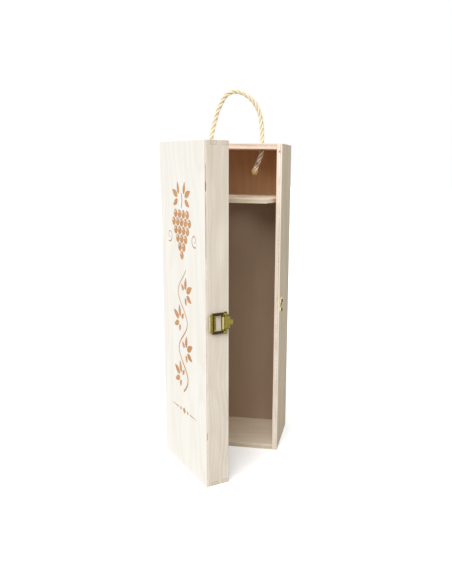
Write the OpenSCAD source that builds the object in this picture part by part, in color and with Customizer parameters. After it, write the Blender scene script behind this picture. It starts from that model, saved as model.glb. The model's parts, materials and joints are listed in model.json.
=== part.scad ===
// Upright gift box for one 75 cl bottle: a deep carcass and a shallow tray lid that opens like a
// book door, with a neck shelf, a rope handle, two small butt hinges and a draw latch.
// Millimetres. +Z is up, +Y is the back, the closed lid faces -Y. The origin is the middle of the
// carcass's footprint, on the surface that the box stands on.

/* [Box] */
// Outside width
box_w = 108; // [104:1:140]
// Outside height
box_h = 350; // [320:1:400]
// Thickness of the side, top and bottom walls of carcass and lid, which meet edge to edge
wall_t = 6; // [5:0.5:8]

/* [Carcass] */
// Depth from the front edges of the walls to the back of the back panel
carcass_d = 78; // [70:1:110]
// Thickness of the back panel
back_panel_t = 3; // [2:0.5:5]

/* [Lid] */
// Depth from the free edges to the front face
lid_d = 26; // [24:1:45]
// Thickness of the front panel
front_panel_t = 3; // [2:0.5:5]
// Angle that the lid stands open
lid_open = 50; // [0:1:130]
// Gap between the lid's edges and the carcass's edges when shut
lid_gap = 0.4; // [0.2:0.1:0.8]

/* [Neck shelf] */
// Thickness of the shelf
shelf_t = 5; // [4:0.5:8]
// From the top of the box down to the shelf's upper face
shelf_below_top = 57.5; // [48:0.5:80]
// How far its nose stands out past the carcass's front edges
shelf_reach = 14; // [6:1:17]
// Width of the straight front edge
shelf_nose_w = 77; // [60:1:90]
// How far behind the carcass's front edges its slanted corners meet the walls
shelf_shoulder = 11; // [5:1:40]
// Diameter of the neck hole
neck_hole_d = 38; // [32:0.5:44]
// From the carcass's front edges to the middle of the neck hole
neck_from_front = 27; // [25:1:40]

/* [Rope handle] */
// Diameter of the rope
rope_d = 5; // [4:0.5:6]
// Clearance all round the rope in its holes
rope_play = 0.5; // [0.4:0.1:1]
// From the carcass's front edges to the rope holes
rope_from_front = 26; // [18:1:40]
// From the middle of the top wall to the middle between the rope holes, towards the hinges
rope_off_middle = 1.3; // [0:0.1:4]
// Diameter of the knot at each end of the rope
knot_d = 8; // [7:0.5:10]

/* [Hinges] */
// Height of each hinge
hinge_h = 25; // [20:1:40]
// From the end of the box to the near end of each hinge
hinge_inset = 47; // [30:1:100]
// Width of a leaf, from the pin's axis to its far edge
hinge_leaf_w = 12; // [9:0.5:18]
// Thickness of a leaf
hinge_leaf_t = 0.8; // [0.6:0.1:1]
// Outside diameter of the knuckles
knuckle_d = 3.2; // [2.8:0.1:4]
// Diameter of the hinge pin
hinge_pin_d = 1.6; // [1.2:0.1:1.8]
// Gap between neighbouring knuckles, and between a knuckle and the wall
knuckle_gap = 0.3; // [0.2:0.1:0.6]

/* [Nails] */
// Diameter of a nail's shank
nail_d = 1.2; // [1:0.1:1.4]
// Diameter of a nail's head
nail_head_d = 2.6; // [2.2:0.1:3]
// Height of a nail's head
nail_head_t = 0.5; // [0.3:0.1:0.6]
// How far a nail goes into the wood
nail_depth = 4.4; // [3:0.1:4.6]

/* [Latch] */
// From the lid's free edge to the lever's pivot
pivot_from_edge = 5; // [4.5:0.1:6]
// Height of the two pivots off the wall
pivot_off_wall = 2.7; // [2.6:0.1:3.4]
// Distance between the lever's pivot and the hook's pivot
latch_throw = 2.5; // [2.5:0.1:3]
// Height of the base plate
latch_base_h = 15.2; // [14:0.1:20]
// How far the base plate reaches past the lever's pivot, away from the free edge
latch_base_tail = 3.6; // [3:0.1:4.5]
// Thickness of the base plate
latch_base_t = 0.9; // [0.6:0.1:1]
// Thickness of each ear of the base plate
ear_t = 1; // [0.8:0.1:1.4]
// Diameter of each ear
ear_d = 3; // [2.6:0.1:3]
// Diameter of the lever's rivets
rivet_d = 1.6; // [1.2:0.1:1.6]
// Diameter of the hook's pin
hook_pin_d = 1.4; // [1:0.1:1.4]
// Side play between the ears, the lever's arms and the hook
latch_play = 0.35; // [0.3:0.05:0.6]
// From the lever's pivot to the outside of the lever's cross bar
lever_len = 14.5; // [13:0.5:16]
// Thickness of the lever's frame
lever_t = 2.2; // [2.2:0.1:2.6]
// Width of each lever arm
lever_arm_w = 2.5; // [2:0.1:3]
// Width of the lever's cross bar
lever_bar_w = 2; // [2:0.1:3]
// How far the finger lip stands out past the cross bar
lever_lip_len = 3.6; // [2:0.1:4]
// Height of the finger lip
lever_lip_h = 18.6; // [12:0.1:20]
// How much is cut off each free corner of the finger lip
lever_lip_corner = 2; // [1:0.1:3]
// Thickness of the hook's sheet
hook_t = 0.8; // [0.6:0.1:1]
// Outside diameter of the hook's barrel
hook_barrel_d = 2.8; // [2.4:0.1:2.8]
// Height of the hook's tongue
tongue_h = 5.2; // [4:0.1:6]
// How far the hook's wide plate reaches past the lid's free edge
hook_plate_reach = 0; // [0:0.1:1]

/* [Catch] */
// Height of the catch plate
catch_h = 14; // [12:0.5:18]
// Length of the catch plate
catch_len = 15.2; // [13:0.1:20]
// Thickness of the catch plate
catch_t = 0.8; // [0.6:0.1:1]
// From the carcass's front edge to the plate, and again from there to its lip
catch_inset = 0.5; // [0.5:0.1:1]
// Thickness of the lip
lip_t = 1; // [0.8:0.1:1.2]
// Height of the lip over the plate
lip_rise = 1.1; // [0.9:0.1:1.2]
// Width of the lip
lip_w = 6.4; // [5:0.1:8]
// Length of the slot behind the lip
lip_slot_len = 3.2; // [2.4:0.1:4]
// Height over the plate of its ears, at both ends of the lip
catch_ear_rise = 2.3; // [1.4:0.1:2.4]
// Clearance between each ear and the hook's tongue
catch_ear_play = 0.4; // [0.3:0.1:0.8]
// Clearance between the lip and the hook's nose
hook_play = 0.25; // [0.2:0.05:0.4]

/* [Hidden] */
$fn = 48;

pine = "#ead9bd";
ply = "#f1e6d0";
brass = "#c9a955";
dark_brass = "#6b5a2a";
rope_colour = "#e6cf9a";

side_x = box_w / 2;
inner_w = box_w - 2 * wall_t;
front_y = -carcass_d / 2;
back_y = carcass_d / 2;
carcass_wall_d = carcass_d - back_panel_t;
lid_edge_y = front_y - lid_gap;
lid_wall_d = lid_d - front_panel_t;

hinge_axis = [-side_x - knuckle_d / 2 - knuckle_gap, front_y - lid_gap / 2, 0];
hinge_bottoms = [hinge_inset, box_h - hinge_inset - hinge_h];
knuckle_h = (hinge_h - 2 * knuckle_gap) / 3;
hinge_nail_zs = [hinge_h / 6, hinge_h * 5 / 6];
hinge_nail_off = (hinge_leaf_w + knuckle_d / 2 + knuckle_gap) / 2;

fixed_play = 0.02;
running_play = 0.05;

latch_z = box_h / 2;
lever_pivot = [pivot_off_wall, -pivot_from_edge];
hook_pivot = lever_pivot - [0, latch_throw];
ear_gap = latch_base_h - 2 * ear_t;
hook_h = ear_gap - 2 * latch_play;
arm_gap = latch_base_h + 2 * latch_play;
lever_h = arm_gap + 2 * lever_arm_w;
lever_far_y = -pivot_from_edge - lever_len;
eye_d = 3.8;
rivet_head_d = 2.6;
rivet_head_t = 0.5;
latch_nail_y = -2.2;
latch_nail_zs = [-3.4, 3.4];

lip_y = 2 * catch_inset;
nose_y = lid_gap + lip_y + lip_t + hook_play;
nose_low = catch_t + 0.35;
catch_nail_y = catch_inset + catch_len * 0.72;
catch_nail_zs = [-catch_h * 0.29, catch_h * 0.29];

// The rope's route from knot to knot: x, y and z from the middle of its two holes at the top face.
rope_exit = 29;
ROPE_ROUTE = [
    [-20, 2, -30], [-22, 2, -24.5], [-25, 1.5, -18], [-28, 1, -12],
    [-rope_exit, 0, -6], [-rope_exit, 0, 0], [-28.4, 0, 6], [-26.4, 0, 15],
    [-23.9, -0.5, 24], [-20.9, -1, 33.5], [-17.3, -1, 41.7], [-12.4, -1, 49.5],
    [-6.2, -0.5, 54], [1.3, 0, 55], [8.4, 0, 52.6], [15.2, 0.5, 48.3],
    [20.8, 0.5, 42.3], [24.9, 0.5, 35], [27.3, 0.5, 27], [28.5, 0, 18],
    [rope_exit, 0, 8], [rope_exit, 0, 0], [rope_exit, 0, -6],
    [28, -1, -12], [25.8, -1.5, -18], [23.3, -2, -24.5], [21.3, -2, -30]
];
rope_steps = 2;
rope_sides = 10;

function hole_top() = [-rope_off_middle, front_y + rope_from_front, box_h];

// A point on the curve through a, b, c and d, at t of the way from b to c.
function curve_point(a, b, c, d, t) =
    0.5 * (2 * b + (c - a) * t + (2 * a - 5 * b + 4 * c - d) * t * t
    + (3 * b - a - 3 * c + d) * t * t * t);

function curve(pts, steps) = [
    for (i = [0 : len(pts) - 2], s = [0 : steps - 1])
        curve_point(pts[max(i - 1, 0)], pts[i], pts[i + 1], pts[min(i + 2, len(pts) - 1)], s / steps),
    pts[len(pts) - 1]
];

function unit(v) = v / norm(v);

module tube(path, d, sides) {
    last = len(path) - 1;
    rings = [
        for (i = [0 : last])
            let (
                t = unit(path[min(i + 1, last)] - path[max(i - 1, 0)]),
                n = unit(cross(t, [0, 1, 0])),
                m = cross(n, t)
            )
            for (k = [0 : sides - 1])
                path[i] + d / 2 * (cos(360 * k / sides) * n + sin(360 * k / sides) * m)
    ];
    walls = [
        for (i = [0 : last - 1], k = [0 : sides - 1])
            [i * sides + k, i * sides + (k + 1) % sides,
             (i + 1) * sides + (k + 1) % sides, (i + 1) * sides + k]
    ];
    ends = [
        [for (k = [sides - 1 : -1 : 0]) k],
        [for (k = [0 : sides - 1]) last * sides + k]
    ];
    polyhedron(points = rings, faces = concat(walls, ends));
}

// What follows is moved from the shut lid's place to the open lid's.
module on_lid() {
    translate(hinge_axis) rotate([0, 0, -lid_open]) translate(-hinge_axis) children();
}

// A flat profile of [off the right wall, behind the lid's free edge], drawn h high about the latch.
module latch_profile(h) {
    translate([side_x, lid_edge_y, latch_z - h / 2]) linear_extrude(h) children();
}

// The same for the catch, behind the carcass's front edge.
module catch_profile(h) {
    translate([side_x, front_y, latch_z - h / 2]) linear_extrude(h) children();
}

// A nail whose head's underside is at the origin; it is driven towards -Z.
module nail(plate_t) {
    point_h = nail_d;
    shank_h = plate_t + nail_depth - point_h;
    cylinder(h = nail_head_t, d1 = nail_head_d, d2 = nail_head_d * 0.6);
    translate([0, 0, -shank_h]) cylinder(h = shank_h, d = nail_d);
    translate([0, 0, -shank_h - point_h]) cylinder(h = point_h, d1 = nail_d * 0.3, d2 = nail_d);
}

module nail_hole(plate_t) {
    reach = plate_t + nail_depth + fixed_play;
    translate([0, 0, -reach]) cylinder(h = reach + 1, d = nail_d + 2 * fixed_play);
}

// side 1 is the carcass's leaf and -1 the lid's.
module at_hinge_nails(side) {
    for (bottom = hinge_bottoms, z = hinge_nail_zs)
        translate([-side_x - hinge_leaf_t, hinge_axis[1] + side * hinge_nail_off, bottom + z])
            rotate([0, -90, 0]) children();
}

module at_latch_nails() {
    for (z = latch_nail_zs)
        translate([side_x + latch_base_t, lid_edge_y + latch_nail_y, latch_z + z])
            rotate([0, 90, 0]) children();
}

module at_catch_nails() {
    for (z = catch_nail_zs)
        translate([side_x + catch_t, front_y + catch_nail_y, latch_z + z])
            rotate([0, 90, 0]) children();
}

// ---- Carcass ----

module back_panel() {
    color(ply) translate([-side_x, back_y - back_panel_t, 0]) cube([box_w, back_panel_t, box_h]);
}

module left_wall() {
    color(pine) difference() {
        translate([-side_x, front_y, 0]) cube([wall_t, carcass_wall_d, box_h]);
        at_hinge_nails(1) nail_hole(hinge_leaf_t);
    }
}

module right_wall() {
    color(pine) difference() {
        translate([side_x - wall_t, front_y, 0]) cube([wall_t, carcass_wall_d, box_h]);
        at_catch_nails() nail_hole(catch_t);
    }
}

module top_wall() {
    color(pine) difference() {
        translate([-inner_w / 2, front_y, box_h - wall_t]) cube([inner_w, carcass_wall_d, wall_t]);
        for (side = [-1, 1])
            translate(hole_top() + [side * rope_exit, 0, -wall_t - 1])
                cylinder(h = wall_t + 2, d = rope_d + 2 * rope_play);
    }
}

module bottom_wall() {
    color(pine) translate([-inner_w / 2, front_y, 0]) cube([inner_w, carcass_wall_d, wall_t]);
}

module neck_shelf() {
    top_z = box_h - shelf_below_top;
    back = back_y - back_panel_t;
    color(ply) translate([0, 0, top_z - shelf_t]) linear_extrude(shelf_t) difference() {
        polygon([
            [-inner_w / 2, back], [-inner_w / 2, front_y + shelf_shoulder],
            [-shelf_nose_w / 2, front_y - shelf_reach], [shelf_nose_w / 2, front_y - shelf_reach],
            [inner_w / 2, front_y + shelf_shoulder], [inner_w / 2, back]
        ]);
        translate([0, front_y + neck_from_front]) circle(d = neck_hole_d);
    }
}

// ---- Lid ----

module lid_front_panel() {
    color(ply) on_lid() translate([-side_x, lid_edge_y - lid_d, 0]) cube([box_w, front_panel_t, box_h]);
}

module lid_hinge_wall() {
    color(pine) on_lid() difference() {
        translate([-side_x, lid_edge_y - lid_wall_d, 0]) cube([wall_t, lid_wall_d, box_h]);
        at_hinge_nails(-1) nail_hole(hinge_leaf_t);
    }
}

module lid_latch_wall() {
    color(pine) on_lid() difference() {
        translate([side_x - wall_t, lid_edge_y - lid_wall_d, 0]) cube([wall_t, lid_wall_d, box_h]);
        at_latch_nails() nail_hole(latch_base_t);
    }
}

module lid_cross_wall(bottom) {
    color(pine) on_lid()
        translate([-inner_w / 2, lid_edge_y - lid_wall_d, bottom]) cube([inner_w, lid_wall_d, wall_t]);
}

module lid_top_wall() lid_cross_wall(box_h - wall_t);

module lid_bottom_wall() lid_cross_wall(0);

// ---- Hinges ----

// A leaf with knuckles at the given steps of three; side 1 is the carcass's and -1 the lid's.
module hinge_leaf(bottom, side, steps, bore_play) {
    knuckle_reach = knuckle_d / 2 + knuckle_gap;
    leaf_from = side > 0 ? knuckle_reach : -hinge_leaf_w;
    color(brass) difference() {
        translate([hinge_axis[0], hinge_axis[1], bottom]) union() {
            translate([-side_x - hinge_leaf_t - hinge_axis[0], leaf_from, 0])
                cube([hinge_leaf_t, hinge_leaf_w - knuckle_reach, hinge_h]);
            for (step = steps)
                translate([0, 0, step * (knuckle_h + knuckle_gap)]) difference() {
                    union() {
                        cylinder(h = knuckle_h, d = knuckle_d);
                        translate([-side_x - hinge_leaf_t - hinge_axis[0], side > 0 ? 0 : -knuckle_reach, 0])
                            cube([hinge_leaf_t, knuckle_reach, knuckle_h]);
                    }
                    translate([0, 0, -1]) cylinder(h = knuckle_h + 2, d = hinge_pin_d + 2 * bore_play);
                }
        }
        at_hinge_nails(side) nail_hole(hinge_leaf_t);
    }
}

module hinge_pin(bottom) {
    color(dark_brass) translate([hinge_axis[0], hinge_axis[1], bottom])
        cylinder(h = hinge_h, d = hinge_pin_d);
}

module upper_hinge_carcass_leaf() hinge_leaf(hinge_bottoms[1], 1, [0, 2], fixed_play);

module upper_hinge_lid_leaf() on_lid() hinge_leaf(hinge_bottoms[1], -1, [1], running_play);

module upper_hinge_pin() hinge_pin(hinge_bottoms[1]);

module lower_hinge_carcass_leaf() hinge_leaf(hinge_bottoms[0], 1, [0, 2], fixed_play);

module lower_hinge_lid_leaf() on_lid() hinge_leaf(hinge_bottoms[0], -1, [1], running_play);

module lower_hinge_pin() hinge_pin(hinge_bottoms[0]);

module hinge_carcass_nails() {
    color(brass) at_hinge_nails(1) nail(hinge_leaf_t);
}

module hinge_lid_nails() {
    color(brass) on_lid() at_hinge_nails(-1) nail(hinge_leaf_t);
}

// ---- Latch ----

module latch_base() {
    tail = pivot_from_edge + latch_base_tail;
    color(brass) on_lid() difference() {
        union() {
            latch_profile(latch_base_h) translate([0, -tail]) square([latch_base_t, tail - 0.6]);
            for (side = [-1, 1])
                translate([0, 0, side * (ear_gap + ear_t) / 2]) latch_profile(ear_t) difference() {
                    union() {
                        translate(lever_pivot) circle(d = ear_d);
                        translate([0, lever_pivot[1] - ear_d / 2]) square([pivot_off_wall, ear_d]);
                    }
                    translate(lever_pivot) circle(d = rivet_d + 2 * fixed_play);
                }
        }
        at_latch_nails() nail_hole(latch_base_t);
    }
}

// Two stub rivets on which the lever turns; the space between the ears is left to the hook.
module latch_rivets() {
    stub_h = ear_t + latch_play + lever_arm_w + running_play;
    color(dark_brass) on_lid() for (side = [-1, 1]) {
        translate([0, 0, side * (ear_gap + stub_h) / 2])
            latch_profile(stub_h) translate(lever_pivot) circle(d = rivet_d);
        translate([0, 0, side * (ear_gap / 2 + stub_h + rivet_head_t / 2)])
            latch_profile(rivet_head_t) translate(lever_pivot) circle(d = rivet_head_d);
    }
}

module latch_nails() {
    color(brass) on_lid() at_latch_nails() nail(latch_base_t);
}

// An open frame that lies over the base: two arms, a cross bar, a finger lip and a return flange.
// The finger lip as seen from beside the box, with its free corners cut off.
module lever_lip_outline() {
    far = lever_far_y - lever_lip_len;
    end = lever_lip_h / 2;
    translate([side_x, lid_edge_y, latch_z]) rotate([90, 0, 90]) linear_extrude(2 * pivot_off_wall)
        polygon([
            [lever_far_y + 1, -end], [far + lever_lip_corner, -end], [far, lever_lip_corner - end],
            [far, end - lever_lip_corner], [far + lever_lip_corner, end], [lever_far_y + 1, end]
        ]);
}

module latch_lever() {
    low = pivot_off_wall - lever_t / 2;
    high = pivot_off_wall + lever_t / 2;
    bar_y = lever_far_y + lever_bar_w;
    color(dark_brass) on_lid() union() {
        for (side = [-1, 1])
            translate([0, 0, side * (arm_gap + lever_arm_w) / 2]) latch_profile(lever_arm_w) difference() {
                union() {
                    translate([low, lever_far_y]) square([lever_t, lever_len]);
                    translate(lever_pivot) circle(d = eye_d);
                }
                translate(lever_pivot) circle(d = rivet_d + 2 * running_play);
                translate(hook_pivot) circle(d = hook_pin_d + 2 * fixed_play);
            }
        latch_profile(lever_h) translate([low, lever_far_y]) square([lever_t, lever_bar_w]);
        intersection() {
            latch_profile(lever_lip_h) polygon([
                [low + 0.3, lever_far_y + 0.5], [low + 1.4, lever_far_y - lever_lip_len],
                [high + 0.4, lever_far_y - lever_lip_len], [high - 0.4, lever_far_y + 0.5]
            ]);
            lever_lip_outline();
        }
        latch_profile(arm_gap - 3) polygon([
            [low + 0.2, bar_y - 0.5], [0.6, bar_y + 2.2],
            [1.4, bar_y + 2.2], [low + 1.2, bar_y - 0.5]
        ]);
    }
}

module latch_hook_pin() {
    color(brass) on_lid() latch_profile(lever_h) translate(hook_pivot) circle(d = hook_pin_d);
}

// A barrel on the hook's pin, a wide plate, and a narrow tongue with a nose bent towards the wall.
module latch_hook() {
    low = pivot_off_wall - hook_t / 2;
    color(brass) on_lid() difference() {
        union() {
            latch_profile(hook_h) translate(hook_pivot) circle(d = hook_barrel_d);
            latch_profile(hook_h) translate([low, hook_pivot[1]])
                square([hook_t, -hook_pivot[1] + hook_plate_reach]);
            latch_profile(tongue_h) translate([low, 0]) square([hook_t, nose_y + hook_t]);
            latch_profile(tongue_h) translate([nose_low, nose_y]) square([low + hook_t - nose_low, hook_t]);
        }
        latch_profile(hook_h + 2) translate(hook_pivot) circle(d = hook_pin_d + 2 * running_play);
    }
}

// ---- Catch ----

module catch_plate() {
    color(brass) difference() {
        union() {
            catch_profile(catch_h) translate([0, catch_inset]) square([catch_t, catch_len]);
            catch_profile(catch_h) translate([0, lip_y]) square([catch_t + catch_ear_rise, lip_t]);
        }
        catch_profile(tongue_h + 2 * catch_ear_play) translate([catch_t + lip_rise, lip_y - 1])
            square([catch_ear_rise, lip_t + 2]);
        catch_profile(lip_w) translate([-1, lip_y + lip_t]) square([catch_t + 2, lip_slot_len]);
        at_catch_nails() nail_hole(catch_t);
    }
}

module catch_nails() {
    color(brass) at_catch_nails() nail(catch_t);
}

// ---- Rope handle ----

module rope_handle() {
    color(rope_colour)
        tube([for (p = curve(ROPE_ROUTE, rope_steps)) p + hole_top()], rope_d, rope_sides);
}

module rope_knot(end) {
    color(rope_colour) translate(hole_top() + end) sphere(d = knot_d);
}

module rope_knot_left() rope_knot(ROPE_ROUTE[0]);

module rope_knot_right() rope_knot(ROPE_ROUTE[len(ROPE_ROUTE) - 1]);

back_panel();
left_wall();
right_wall();
top_wall();
bottom_wall();
neck_shelf();
lid_front_panel();
lid_hinge_wall();
lid_latch_wall();
lid_top_wall();
lid_bottom_wall();
upper_hinge_carcass_leaf();
upper_hinge_lid_leaf();
upper_hinge_pin();
lower_hinge_carcass_leaf();
lower_hinge_lid_leaf();
lower_hinge_pin();
hinge_carcass_nails();
hinge_lid_nails();
latch_base();
latch_rivets();
latch_nails();
latch_lever();
latch_hook_pin();
latch_hook();
catch_plate();
catch_nails();
rope_handle();
rope_knot_left();
rope_knot_right();
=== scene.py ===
"""Looks of an upright wooden gift box for one bottle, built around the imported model.

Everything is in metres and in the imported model's frame. Boards, metal, rope, burned ornament and
stage each have an operator of their own, and the panel in the 3D view's sidebar lists them.
"""

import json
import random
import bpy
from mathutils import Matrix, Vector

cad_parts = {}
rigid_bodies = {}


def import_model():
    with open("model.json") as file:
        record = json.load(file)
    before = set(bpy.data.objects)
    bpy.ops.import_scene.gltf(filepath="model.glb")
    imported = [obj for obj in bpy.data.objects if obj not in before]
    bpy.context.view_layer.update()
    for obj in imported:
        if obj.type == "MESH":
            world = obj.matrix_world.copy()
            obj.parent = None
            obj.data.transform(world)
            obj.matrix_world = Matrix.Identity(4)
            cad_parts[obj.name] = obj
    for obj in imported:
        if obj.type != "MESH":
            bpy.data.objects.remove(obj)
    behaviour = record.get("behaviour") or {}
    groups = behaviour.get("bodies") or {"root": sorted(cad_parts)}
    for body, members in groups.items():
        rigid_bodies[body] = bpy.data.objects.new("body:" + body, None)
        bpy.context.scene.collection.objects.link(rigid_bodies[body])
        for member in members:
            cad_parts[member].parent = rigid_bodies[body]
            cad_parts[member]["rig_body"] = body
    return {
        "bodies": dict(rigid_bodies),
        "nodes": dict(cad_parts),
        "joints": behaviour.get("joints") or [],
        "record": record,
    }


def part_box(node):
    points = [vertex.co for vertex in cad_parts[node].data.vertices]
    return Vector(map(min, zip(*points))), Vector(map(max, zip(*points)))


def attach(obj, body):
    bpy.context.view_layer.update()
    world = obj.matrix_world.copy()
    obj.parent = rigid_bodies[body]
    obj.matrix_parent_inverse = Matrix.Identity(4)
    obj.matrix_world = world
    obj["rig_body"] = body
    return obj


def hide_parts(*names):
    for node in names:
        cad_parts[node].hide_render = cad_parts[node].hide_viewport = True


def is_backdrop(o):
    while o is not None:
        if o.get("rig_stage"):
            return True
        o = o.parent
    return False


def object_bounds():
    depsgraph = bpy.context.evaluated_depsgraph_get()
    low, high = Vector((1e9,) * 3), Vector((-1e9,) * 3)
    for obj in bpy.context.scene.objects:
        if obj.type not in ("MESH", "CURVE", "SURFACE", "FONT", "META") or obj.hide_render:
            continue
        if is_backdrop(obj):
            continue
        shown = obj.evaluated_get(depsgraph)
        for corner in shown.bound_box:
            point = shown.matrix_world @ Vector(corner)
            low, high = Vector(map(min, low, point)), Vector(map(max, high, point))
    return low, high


bl_info = {
    "name": "Bottle Gift Box",
    "version": (1, 0, 0),
    "blender": (4, 5, 0),
    "location": "View3D > Sidebar > Gift Box",
    "description": "Builds the boards, hardware, rope handle and stage of a wooden gift box",
    "category": "Add Mesh",
}

from functools import partialmethod
from itertools import accumulate
from math import copysign, cos, pi, radians, sin, sqrt, tau

import bmesh
import bpy
from mathutils import Matrix, Vector

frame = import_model()
CAD_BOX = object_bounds()

MM = 0.001
# How close points are that become one: on a board or a fitting, and on a thin tube
WELD = 0.002 * MM
FINE_WELD = 0.0001 * MM

# The rope's route from knot to knot, in metres from the middle of its two holes at the top face.
ROPE_ROUTE = [
    (-0.020, 0.002, -0.030), (-0.022, 0.002, -0.0245), (-0.025, 0.0015, -0.018),
    (-0.028, 0.001, -0.012), (-0.029, 0, -0.006), (-0.029, 0, 0), (-0.0284, 0, 0.006),
    (-0.0264, 0, 0.015), (-0.0239, -0.0005, 0.024), (-0.0209, -0.001, 0.0335),
    (-0.0173, -0.001, 0.0417), (-0.0124, -0.001, 0.0495), (-0.0062, -0.0005, 0.054),
    (0.0013, 0, 0.055), (0.0084, 0, 0.0526), (0.0152, 0.0005, 0.0483), (0.0208, 0.0005, 0.0423),
    (0.0249, 0.0005, 0.035), (0.0273, 0.0005, 0.027), (0.0285, 0, 0.018), (0.029, 0, 0.008),
    (0.029, 0, 0), (0.029, 0, -0.006), (0.028, -0.001, -0.012), (0.0258, -0.0015, -0.018),
    (0.0233, -0.002, -0.0245), (0.0213, -0.002, -0.030),
]
# That middle's distance from the front of the top wall, and how far it is left of the box's middle
ROPE_FROM_FRONT = 0.026
ROPE_OFF_MIDDLE = 0.0013


def colour(name, description, *screen):
    """A colour property, given as red, green and blue on a screen, from 0 to 255."""
    value = [((c / 255 + 0.055) / 1.055) ** 2.4 for c in screen]
    return bpy.props.FloatVectorProperty(
        name=name, description=description, subtype="COLOR", size=3, min=0, max=1, default=value
    )


def length(name, description, value):
    """A length property, in metres."""
    return bpy.props.FloatProperty(
        name=name, description=description, subtype="DISTANCE", unit="LENGTH", precision=5, default=value
    )


def number(name, description, value):
    """A plain number property."""
    return bpy.props.FloatProperty(name=name, description=description, min=0, default=value)


def degrees(name, description, value):
    """An angle property, given in degrees."""
    return bpy.props.FloatProperty(
        name=name, description=description, unit="ROTATION", default=radians(value)
    )


def lamp(name, value):
    """The brightness of a lamp, as a property."""
    description = f"Brightness that the {name.lower()} lamp gives a surface facing it"
    return number(f"{name} light", description, value)


class WoodSettings(bpy.types.PropertyGroup):
    """Finish of the boards."""

    edge: length("Edge radius", "How far the sanded edges are rounded", 0.45 * MM)
    wall_light: colour("Wall wood", "Early wood of the walls", 236, 227, 212)
    wall_dark: colour("Wall grain", "Late wood of the walls", 203, 188, 167)
    panel_light: colour("Panel veneer", "Face of the front panel", 238, 236, 230)
    panel_dark: colour("Panel grain", "Grain of the front panel", 226, 218, 204)
    shelf_light: colour("Shelf wood", "Faces of the neck shelf and the bottom", 243, 234, 216)
    shelf_dark: colour("Shelf grain", "Grain of the neck shelf and the bottom", 226, 210, 184)
    # Painted shade: the right wall's wood is a darker, warmer copy of the wall wood, for the shade on
    # that side of the box.
    side_light: colour("Side wood", "Early wood of the right wall", 229, 213, 188)
    side_dark: colour("Side grain", "Late wood of the right wall", 194, 175, 147)
    # Painted shade: inner faces below the shelf are darkened towards this colour for the shade there.
    shade_and_tarnish: colour("Dull veneer", "Faces inside the box below the shelf", 160, 148, 132)
    # Painted light: the inner veneer is a warm, bright tint that stands for the warm bounce light and
    # shade inside the box.
    inner_light: colour("Inner veneer", "Faces inside the box", 255, 224, 196)
    inner_dark: colour("Inner grain", "Grain of the faces inside the box", 243, 202, 170)
    # Painted shade: the back panel's inner face is painted dark brown for the shade inside the box.
    back_light: colour("Back veneer", "Inner face of the back panel", 194, 154, 118)
    back_dark: colour("Back grain", "Grain of the back panel's inner face", 176, 134, 98)
    ply: colour("Ply edge", "Long layers where they show at the edges of the boards", 246, 237, 221)
    core: colour("Ply core", "Cross layers that show at the edges of the boards", 249, 240, 227)
    shelf_edge: colour("Shelf edge", "Layers at the edges of shelf and bottom", 226, 213, 188)
    # Painted light: a lighter edge colour for the shelf's slanted right corner, in place of light that
    # the wall's shade keeps off it.
    shelf_corner_lit: colour("Shelf corner", "Layers at the shelf's slanted corners", 248, 238, 216)
    top_edge: colour("Top edge", "Layers at the front edge of the top wall", 237, 218, 199)
    glue: colour("Glue line", "Lines between the layers", 170, 128, 100)
    gap: colour("Core gap", "Open knots and gaps in the cross layers", 110, 66, 44)


class OrnamentSettings(bpy.types.PropertyGroup):
    """Burned ornament on the front panel."""

    depth: length("Depth", "Depth of the burned parts", 0.15 * MM)
    burned: colour("Burned wood", "Middle tone of the burned wood", 204, 156, 112)
    scorched: colour("Scorched grain", "Darkest streaks of the burned wood", 172, 122, 82)


class MetalSettings(bpy.types.PropertyGroup):
    """Finish of the hardware."""

    edge: length("Edge radius", "How far the pressed edges are rounded", 0.12 * MM)
    # The bright brass is also painted as highlights: on the hook's barrel and on the lever lip's rim.
    bright: colour("Bright brass", "Catch plate, hinges and bare rims of the latch", 216, 202, 150)
    olive: colour("Olive brass", "Hook and base of the latch", 132, 120, 56)
    dark: colour("Dark brass", "Lever of the latch and its rivets", 62, 50, 22)
    # Painted shadow: a near-black for the shade in the catch's slot, behind its ears and at their outer
    # ends.
    deep: colour("Deep tarnish", "Slot and ends of the catch", 34, 26, 12)
    tarnish: colour("Tarnish", "Dull patches on all the metal", 96, 66, 32)


class RopeSettings(bpy.types.PropertyGroup):
    """Rope handle."""

    diameter: length("Diameter", "Diameter of the rope", 5 * MM)
    pitch: length("Lay", "Length of one turn of a strand", 20 * MM)
    loose: bpy.props.IntProperty(
        name="Loose fibres", description="Fibres that stand off the rope", min=0, default=150
    )
    crest: colour("Fibre", "Fibres on the outside of the strands", 240, 229, 200)
    # Painted shade: the colour that fibres get down between the strands, where shade falls.
    strand_shade: colour("Groove", "Fibres between the strands", 208, 185, 141)
    fray_crest: colour("Frayed fibre", "Crests of the strands inside the box", 255, 250, 236)
    knot_crest: colour("Knot", "Fibres on the outside of the knots", 214, 182, 124)
    # Painted shade: the colour down between the knots' leads.
    knot_shade: colour("Knot groove", "Fibres between the leads of the knots", 140, 104, 60)


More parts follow.
